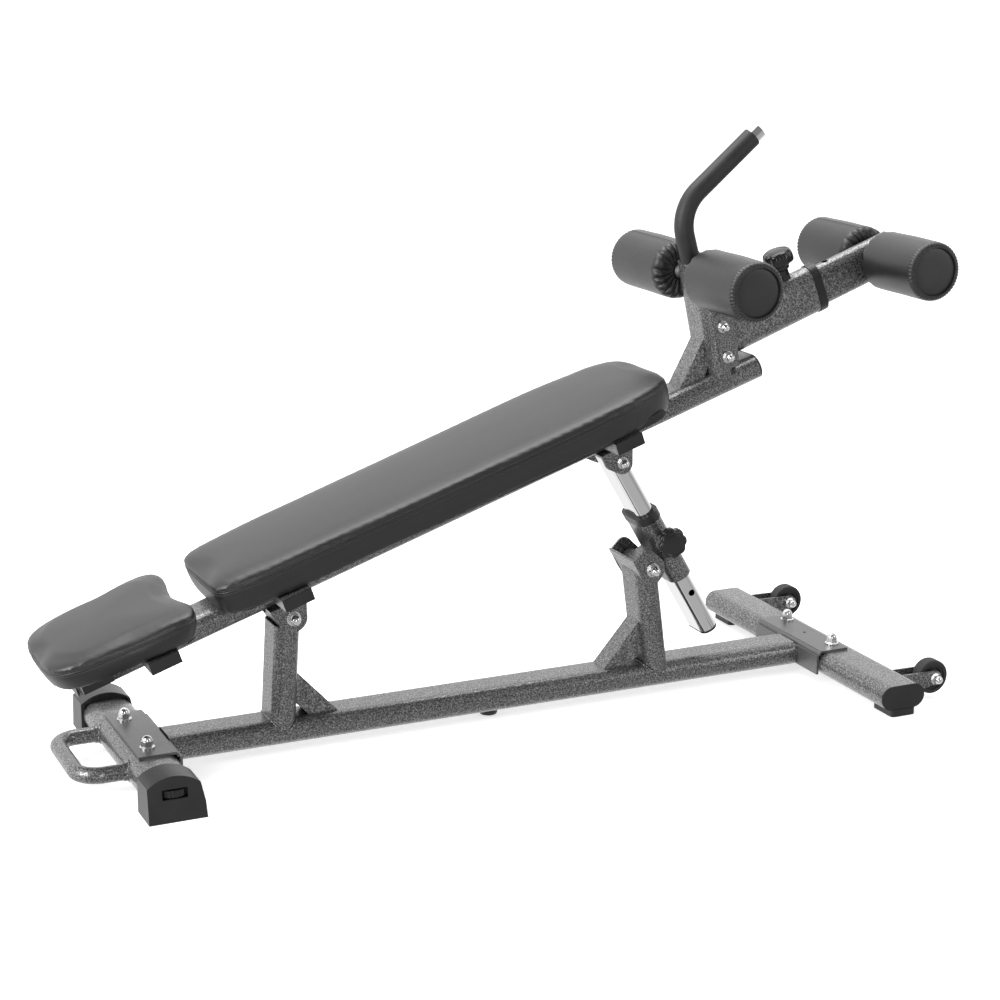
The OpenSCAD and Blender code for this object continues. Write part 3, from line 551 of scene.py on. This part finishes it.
def pad_profile(pad):
    """(inset, height) pairs from the middle of the bottom, out round the side and over the crown.
    The side bows out a little below the seam and the top rolls over into a low dome."""
    crown = pad.seam + CROWN_RISE
    half = min(pad.widths)
    bottom = [(half * part, PAD_BASE) for part in (CENTRE_PART, 0.6, 0.3, 0.12)]
    side = [(SIDE_BOW * (1 - h) ** 1.6 + SIDE_INSET,
             PAD_BASE + (pad.seam - SHOULDER_DROP - PAD_BASE) * h) for h in np.linspace(0, 1, 8)]
    roll = [(SIDE_INSET + ROLL_IN * (1 - math.cos(a)), pad.seam - SHOULDER_DROP + ROLL_UP * math.sin(a))
            for a in np.linspace(0.1, 1, 7) * math.pi / 2]
    dome = [(DOME_INSET + (half * CENTRE_PART - DOME_INSET) * r,
             pad.seam + DOME_FOOT + (crown - pad.seam - DOME_FOOT) * math.sin(r * math.pi / 2))
            for r in np.linspace(0.15, 1, 7)]
    return bottom + side + roll + dome


def read_points(piece):
    flat = np.zeros(len(piece.data.vertices) * 3, np.float32)
    piece.data.vertices.foreach_get("co", flat)
    return flat.reshape(-1, 3).astype(float)


def write_points(piece, points):
    piece.data.vertices.foreach_set("co", points.astype(np.float32).ravel())
    piece.data.update()


def apply_modifier(piece, name, kind, **settings):
    """Adds a modifier with the given settings to a piece and applies it."""
    added = piece.modifiers.new(name, kind)
    for setting, value in settings.items():
        setattr(added, setting, value)
    bpy.ops.object.select_all(action="DESELECT")
    piece.select_set(True)
    bpy.context.view_layer.objects.active = piece
    bpy.ops.object.modifier_apply(modifier=added.name)


def ironed(piece, move):
    """Evens out a movement over its neighbours, move = (move + mean of neighbours) / 2 each round, so
    the cloth keeps its swell and loses its wrinkles."""
    edges = np.zeros(len(piece.data.edges) * 2, np.int32)
    piece.data.edges.foreach_get("vertices", edges)
    near, far = np.concatenate([edges.reshape(-1, 2), edges.reshape(-1, 2)[:, ::-1]]).T
    count = np.maximum(np.bincount(near, minlength=len(move)), 1)
    for _ in range(IRON_ROUNDS):
        around = np.stack([np.bincount(near, move[far, axis], len(move)) for axis in range(3)], 1)
        move = (move + around / count[:, None]) / 2
    return move


def swell(piece, start):
    """Each point's movement when a pad is blown up as cloth with its bottom held, ironed and kept
    within SWELL_LIMIT."""
    held = piece.vertex_groups.new(name="held")
    for index in np.nonzero(BENCH.read(start)[2] < PAD_BASE + HELD_HEIGHT)[0]:
        held.add([int(index)], 1.0, "REPLACE")
    cloth = piece.modifiers.new("cloth", "CLOTH")
    for setting, value in CLOTH.items():
        setattr(cloth.settings, setting, value)
    cloth.settings.vertex_group_mass = held.name
    cloth.settings.effector_weights.gravity = 0
    for number in range(1, CLOTH_FRAMES + 1):
        SCENE.frame_set(number)
    evaluated = piece.evaluated_get(bpy.context.evaluated_depsgraph_get())
    blown = read_points(evaluated)
    piece.modifiers.remove(cloth)
    SCENE.frame_set(1)
    move = ironed(piece, blown - start)
    size = np.linalg.norm(move, axis=1, keepdims=True)
    return move * np.minimum(1, SWELL_LIMIT / np.maximum(size, 1e-9))


def sew_in(points, pad):
    """Pulls the vinyl in along the seam: a soft valley round the side, depth * exp(-(up / half) ** 2)
    from the seam's height."""
    along, across, up = BENCH.read(points)
    run = (along - pad.middle) / pad.reach
    wide = across / np.mean(pad.widths)
    outward = np.stack([run ** 7, wide ** 3], 1)
    outward /= np.maximum(np.linalg.norm(outward, axis=1, keepdims=True), 1e-9)
    rim = np.maximum(np.abs(run), np.abs(wide)) > 0.8
    depth = VALLEY_DEPTH * np.exp(-((up - pad.seam + SEAM_DROP) / VALLEY_HALF) ** 2) * rim
    moved = BENCH.put(outward[:, 0] * depth, outward[:, 1] * depth, np.zeros(len(points))) - BENCH.origin
    return points - moved


def inflate(piece, pad):
    """Remeshes a pad, blows it up, draws its seam in and subdivides it once."""
    apply_modifier(piece, "even", "REMESH", mode="VOXEL", voxel_size=pad.voxel)
    points = read_points(piece)
    points = points + swell(piece, points)
    write_points(piece, sew_in(points, pad))
    apply_modifier(piece, "finer", "SUBSURF", levels=1, render_levels=1)
    piece.data.polygons.foreach_set("use_smooth", np.ones(len(piece.data.polygons), bool))


def hug(piece, pad, height, sink, count):
    """Points and outward directions where a level line round the pad meets its skin."""
    tree = BVHTree.FromObject(piece, bpy.context.evaluated_depsgraph_get())
    path = pad.edge(count, height)
    outward = unit(np.cross(loop_steps(path), BENCH.up))
    found = []
    for point, direction in zip(path, outward):
        start = Vector(point + direction * RAY_START)
        hit = tree.ray_cast(start, Vector(-direction), RAY_REACH)[0]
        found.append(np.array(hit) if hit is not None else point)
    found = np.array(found)
    for _ in range(3):
        found = (np.roll(found, 1, 0) + 2 * found + np.roll(found, -1, 0)) / 4
    return found - outward * sink, outward


def welt(piece, pad):
    """Piping sewn into the seam: a thin tube that follows the skin."""
    path = hug(piece, pad, pad.seam - SEAM_DROP, WELT_SINK, WELT_POINTS)[0]
    cord = ring_loop(pad.name + "_welt", tube_rings(path, WELT_RADIUS, BENCH.up))
    dress(cord, "pad_vinyl", "upper_frame")


def stitches(piece, pad, row, height):
    """One row of stitches: short capsules laid end to end along the skin, each turned with the edge."""
    edge = pad.edge(400, 0.0)
    total = np.linalg.norm(np.roll(edge, -1, 0) - edge, axis=1).sum()
    count = int(total / STITCH_PITCH)
    path, outward = hug(piece, pad, height, -STITCH_LIFT, count)
    forward = unit(loop_steps(path))
    lift = np.cross(outward, forward)
    reach = np.array([-0.5, -0.4, 0.4, 0.5]) * STITCH_LENGTH
    girth = np.array([0.35, 1.0, 1.0, 0.35]) * STITCH_RADIUS
    angle = np.linspace(0, TAU, 5, endpoint=False)
    wheel = (np.cos(angle)[:, None] * outward[:, None, None, :]
             + np.sin(angle)[:, None] * lift[:, None, None, :])
    rings = (path[:, None, None, :] + reach[None, :, None, None] * forward[:, None, None, :]
             + girth[None, :, None, None] * wheel)
    rows, sides = len(reach), len(angle)
    first = np.arange(count)[:, None, None] * rows * sides
    quads = ring_quads(rows, sides)[1]
    ends = np.array([np.arange(sides), rows * sides - 1 - np.arange(sides)])
    faces = (quads[None] + first).reshape(-1, 4).tolist() + (ends[None] + first).reshape(-1, sides).tolist()
    thread_row = mesh_object(f"{pad.name}_stitches_{row}", rings.reshape(-1, 3), faces)
    dress(thread_row, "pad_vinyl", "upper_frame", THREAD)


def upholster(pad):
    rings = np.array([pad.edge(OUTLINE_POINTS, height, inset) for inset, height in pad_profile(pad)])
    piece = ring_solid(pad.name + "_cushion", rings)
    inflate(piece, pad)
    dress(piece, "pad_vinyl", "upper_frame")
    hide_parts(pad.name)
    bpy.context.view_layer.update()
    welt(piece, pad)
    for row, offset in (("top", STITCH_ROW), ("side", -STITCH_ROW)):
        stitches(piece, pad, row, pad.seam - SEAM_DROP + offset)


# ---------- leg rollers ----------

NECK_R, FACE_R = 0.0128, 0.0135             # the cover's hole, and the start of its gathered inner face
INNER_ROUND, OUTER_ROUND = 0.015, 0.0085    # the barrel's rounded edges
BARREL_START, BARREL_CUT = 0.0148, 0.0235   # the barrel's start, and how much shorter it is than the roller
LEAST_R = 0.0118                            # the cover never comes closer to the axle
BIG_FOLD, SMALL_FOLD = 0.0042, 0.0007
SEAM_SINK, SEAM_SWELL = 0.0011, 0.0005
SLACK = 0.00025
DISC_GAP = 0.0092                           # from the roller's radius to the end disc's
COVER_TURNS, DISC_TURNS = 360, 96


def roller_outline(radius, length):
    """(radius, way along) pairs of the cut through a cover: its hole, gathered inner face, rounded edge,
    barrel, rounded rim, and the dish that the end disc sits in."""
    bend = np.linspace(0, math.pi / 2, 16)
    neck = [(NECK_R, 0.004 - 0.0006 * k) for k in range(4)]
    inner_face = [(FACE_R + (radius - FACE_R - INNER_ROUND) * p, 0.0025 - 0.0022 * p)
                  for p in np.linspace(0, 1, 12)]
    inner_edge = [(radius - INNER_ROUND + INNER_ROUND * math.sin(a), BARREL_START - 0.0145 * math.cos(a))
                  for a in bend[1:]]
    barrel = [(radius + 0.0003 * math.sin(math.pi * p), BARREL_START + (length - BARREL_CUT) * p)
              for p in np.linspace(0.03, 0.97, 40)]
    outer_edge = [(radius - OUTER_ROUND + OUTER_ROUND * math.cos(a),
                   length - 0.0087 + OUTER_ROUND * math.sin(a)) for a in bend]
    lip = [(radius - OUTER_ROUND - 0.0012 * p, length - 0.0002 - 0.006 * p)
           for p in np.linspace(0.2, 1, 5)]
    dish = [((radius - 0.0098) * (1 - p) + 0.012 * p, length - 0.0062) for p in np.linspace(0.1, 1, 4)]
    return np.array(neck + inner_face + inner_edge + barrel + outer_edge + lip + dish).T


def spun(node, side, reach, way, turn):
    """Points at a radius, way along and turn about a roller's axis: x + r cos a, side * (inner end + way),
    z + r sin a."""
    low, high = box_of(node)
    axis = (low + high) / 2
    inner = low[1] if side > 0 else -high[1]
    along = np.broadcast_to(side * (inner + way), (len(reach), len(turn)))
    return np.stack([axis[0] + reach * np.cos(turn), along, axis[2] + reach * np.sin(turn)], -1)


def roller_cover(node, side, radius, length):
    """Vinyl cover. Radius as a function of the turn and of the way along: a plain barrel whose inner end
    is drawn together in deep folds, |sin 8.5 a|, and whose outer rim is ruched round the end disc,
    sin 54 a. A seam runs along the top."""
    reach, way = roller_outline(radius, length)
    turn = np.linspace(0, TAU, COVER_TURNS, endpoint=False)
    wander = 0.35 * np.sin(3 * turn + 0.7) + 0.22 * np.sin(5 * turn + 2.1)
    big = np.abs(np.sin(8.5 * turn + wander * 2))
    small = 0.5 + 0.5 * np.sin(54 * turn + 1.5 * np.sin(5 * turn))
    near_inner = smooth_step(-way, -0.017, -0.004) * smooth_step(reach, 0.0135, 0.028)
    near_outer = (smooth_step(way, length - 0.0125, length - 0.006)
                  * smooth_step(reach, radius - 0.0115, radius - 0.007))
    folds = np.outer(near_inner, (big ** 0.6 - 0.75) * BIG_FOLD)
    ruche = np.outer(near_outer, (small - 0.75) * SMALL_FOLD)
    seam_turn = np.angle(np.exp(1j * (turn - math.radians(90 + 14 * side))))
    on_barrel = smooth_step(way, 0.006, 0.012) * smooth_step(-way, -length + 0.004, -length + 0.012)
    seam = np.outer(on_barrel, -SEAM_SINK * np.exp(-(seam_turn / 0.022) ** 2)
                    + SEAM_SWELL * np.exp(-((np.abs(seam_turn) - 0.06) / 0.03) ** 2))
    slack = np.outer(on_barrel * np.sin(way / length * 9), SLACK * np.sin(3 * turn + 1))
    full = np.maximum(reach[:, None] + seam + slack + 0.7 * ruche + 0.45 * folds, LEAST_R)
    run = way[:, None] - folds + ruche * 1.2
    skin = ring_solid(node + "_cover", spun(node, side, full, run, turn))
    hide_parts(node)
    dress(skin, "roller_vinyl", node)


def roller_disc(node, side, radius, length):
    """End disc with a slightly bowed face: way = length - 0.0026 - 0.0016 sin(p pi / 2) ** 6."""
    disc_r = radius - DISC_GAP
    rise = np.sin(np.linspace(0, 1, 14)[1:] * math.pi / 2)
    face = [(disc_r * s, length - 0.0026 - 0.0016 * s ** 6) for s in rise]
    back = [(disc_r * 0.98, length - 0.0058), (disc_r * 0.5, length - 0.006)]
    rim = np.array(face + back)
    turn = np.linspace(0, TAU, DISC_TURNS, endpoint=False)
    dress(ring_solid(node + "_disc", spun(node, side, rim[:, :1], rim[:, 1:], turn)), "roller_vinyl", node)


def build_roller(node, side):
    low, high = box_of(node)
    radius = (high[2] - low[2]) / 2
    length = high[1] - low[1]
    roller_cover(node, side, radius, length)
    roller_disc(node, side, radius, length)


# ---------- knobs ----------

KNOB_LOBES = 8
KNOB_TURNS = 168
FLUTE_DEPTH = 0.1           # share of the radius
# (share of the radius, share of the height) from the pin's end up to the top; below 0 in metres.
KNOB_PROFILE = [(0.25, 0.0), (0.52, 0.0), (0.56, 0.03), (0.56, 0.2), (0.6, 0.25), (0.8, 0.28), (0.93, 0.32),
                (0.98, 0.38), (1.0, 0.48), (1.0, 0.6), (0.99, 0.72), (0.965, 0.82), (0.91, 0.9),
                (0.83, 0.95), (0.74, 0.975), (0.7, 0.965), (0.66, 0.94), (0.63, 0.955), (0.5, 0.985),
                (0.25, 1.0)]


def knob(name, node, body, base, axis, radius, height, pin_length):
    """Lobed pull knob on its pin. Radius = profile * (1 - flute * bump(turn)), with one bump for each lobe
    and the flutes fading out at the domed top and at the skirt."""
    axis = np.array(axis, float)
    side = unit(np.cross(axis, [0.3, 1.0, 0.2]))
    other = np.cross(axis, side)
    turn = np.linspace(0, TAU, KNOB_TURNS, endpoint=False)
    part, rise = np.array(KNOB_PROFILE[:1] + KNOB_PROFILE).T
    rise = rise * height
    rise[0] = -pin_length
    scoop = smooth_step(part, 0.7, 0.95) * FLUTE_DEPTH
    lobes = (0.5 + 0.5 * np.cos(KNOB_LOBES * turn)) ** 2.2
    full = radius * part[:, None] * (1 - np.outer(scoop, lobes))
    points = (np.array(base, float) + full[..., None] * (np.cos(turn)[:, None] * side
              + np.sin(turn)[:, None] * other) + rise[:, None, None] * axis)
    piece = ring_solid(name, points)
    round_off = piece.modifiers.new("round", "SUBSURF")
    round_off.levels = round_off.render_levels = 1
    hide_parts(node)
    dress(piece, "knob_plastic", body)


def build_knobs():
    depth = 0.026
    low, high = box_of("strut_knob")
    centre = (low + high) / 2
    knob("strut_pull_knob", "strut_knob", "strut_pin", (centre[0], low[1] + depth, centre[2]),
         (0, -1, 0), radius=0.0265, height=depth, pin_length=0.018)
    lift = np.array(JOINTS["boom_pin_pull"]["axis"], float)
    low, high = box_of("boom_pin_housing")
    base = (low + high) / 2 + lift * 0.0085
    knob("boom_pull_knob", "boom_knob", "boom_pin", base, lift, radius=0.025, height=0.033,
         pin_length=0.018)


# ---------- weld beads ----------

BEAD_POINTS = 220
BEAD_RADIUS, HANDLE_BEAD_RADIUS = 0.0021, 0.0016
POST_OUTLINE = (0.0806, 0.0406)     # width and thickness of the bead's line round a post
POST_LEANS = (("front_post", 4.05), ("rear_post", -7.1))    # degrees from upright
HANDLE_TUBE_R, HANDLE_BEAD_R = 0.014, 0.0145


def flat_oval(width, thickness, count):
    """Closed flat-oval curve: thickness along the first column, width along the second."""
    turn = np.linspace(0, TAU, count * 4, endpoint=False)
    half = thickness / 2
    straight = (width - thickness) / 2
    first = half * np.cos(turn)
    second = half * np.sin(turn) + straight * np.clip(np.sin(turn) * 6, -1, 1)
    return even_steps(np.stack([first, second], 1), count)


def bead(name, path, up, radius=BEAD_RADIUS):
    """Weld bead on the base: a tube whose radius ripples along it."""
    path = even_steps(path, BEAD_POINTS)
    place = np.arange(BEAD_POINTS)
    ripple = radius * (1 + 0.2 * np.sin(place * TAU / 5.5) + 0.1 * np.sin(place * 0.9))
    dress(ring_loop(name, tube_rings(path, ripple, up)), "frame_paint", "base")


def post_foot(name, place, lean):
    """Bead where a flat-oval post meets a flat-oval tube under it: the post's outline, dropped on to the
    tube's flat top and down its rounded flanks."""
    front, across = flat_oval(*POST_OUTLINE, BEAD_POINTS).T
    bend = TUBE_THICKNESS / 2
    over = np.maximum(np.abs(across) - (TUBE_WIDTH / 2 - bend), 0)
    height = np.sqrt(np.maximum(bend ** 2 - over ** 2, 0))
    run = front / math.cos(lean) + height * math.tan(lean)
    bead(name, place.put(run, across, height), place.up)


def handle_foot(name, side, height):
    """Bead where the grab handle's round tube meets the front stabilizer's rounded flank."""
    bend = TUBE_THICKNESS / 2
    leg_y = box_of("grab_handle")[1][1] - HANDLE_TUBE_R
    turn = np.linspace(0, TAU, 80, endpoint=False)
    z = HANDLE_BEAD_R * np.sin(turn)
    y = HANDLE_BEAD_R * np.cos(turn)
    x = box_of("front_stabilizer")[0][0] + bend - np.sqrt(bend ** 2 - z ** 2)
    bead(name, np.stack([x, side * leg_y + y, height + z], 1), np.array([1.0, 0, 0]), HANDLE_BEAD_RADIUS)


def build_welds():
    rail_low, rail_high = box_of("main_rail")
    rail_mid = (rail_low[2] + rail_high[2]) / 2
    for node, degrees in POST_LEANS:
        low, high = box_of(node)
        lean = math.radians(degrees)
        half = TUBE_THICKNESS / 2 / math.cos(lean)
        foot = (low[0] + half if lean > 0 else high[0] - half) + (rail_mid - low[2]) * math.tan(lean)
        post_foot(node + "_weld", Place((foot, 0, rail_mid), 0), lean)
    for side, name in ((-1, "right"), (1, "left")):
        handle_foot("grab_handle_weld_" + name, side, rail_mid)


# ---------- build ----------

place_camera()
build_studio()
dress_nodes()
upholster(MAIN)
upholster(HEAD)
for roller, side in (("front_roller_left", 1), ("front_roller_right", -1),
                     ("rear_roller_left", 1), ("rear_roller_right", -1)):
    build_roller(roller, side)
build_knobs()
build_welds()
